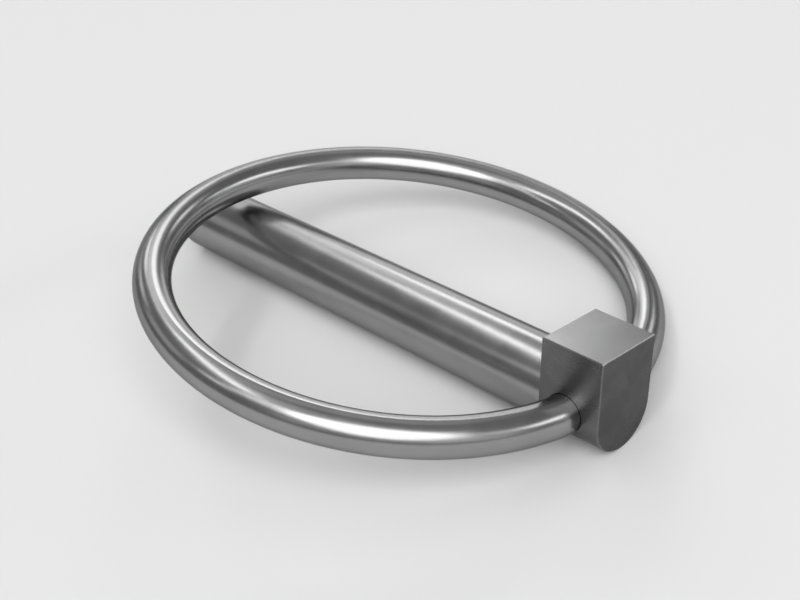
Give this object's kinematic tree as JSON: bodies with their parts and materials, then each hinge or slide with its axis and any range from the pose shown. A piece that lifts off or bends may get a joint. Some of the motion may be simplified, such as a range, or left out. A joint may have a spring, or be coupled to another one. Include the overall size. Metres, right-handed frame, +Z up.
{
  "type": "lynch pin",
  "caption": "Lynch pin: a round steel shank with a flat-topped head and a hinged wire ring that closes over the shank to lock it in a cross hole.",
  "frame": {"origin": "on the shank's axis, in the plane of the head's shoulder", "axes": "+X along the shank to its tip, +Z up from the table that the pin lies on, so the head's flat top leans about 9 degrees from +Z towards -Y"},
  "size_m": [0.0654, 0.0557, 0.0147],
  "materials": {
    "pin_steel": "bright turned steel",
    "ring_steel": "bright drawn spring wire"
  },
  "bodies": {
    "pin": {"pin": "pin_steel"},
    "ring": {"ring": "ring_steel"}
  },
  "joints": [
    {"name": "ring_hinge", "type": "hinge", "parent": "pin", "child": "ring", "pos_m": [-0.003, 0, 0], "axis": [0, -0.9875, -0.1577], "range_deg": [0, 180]}
  ]
}
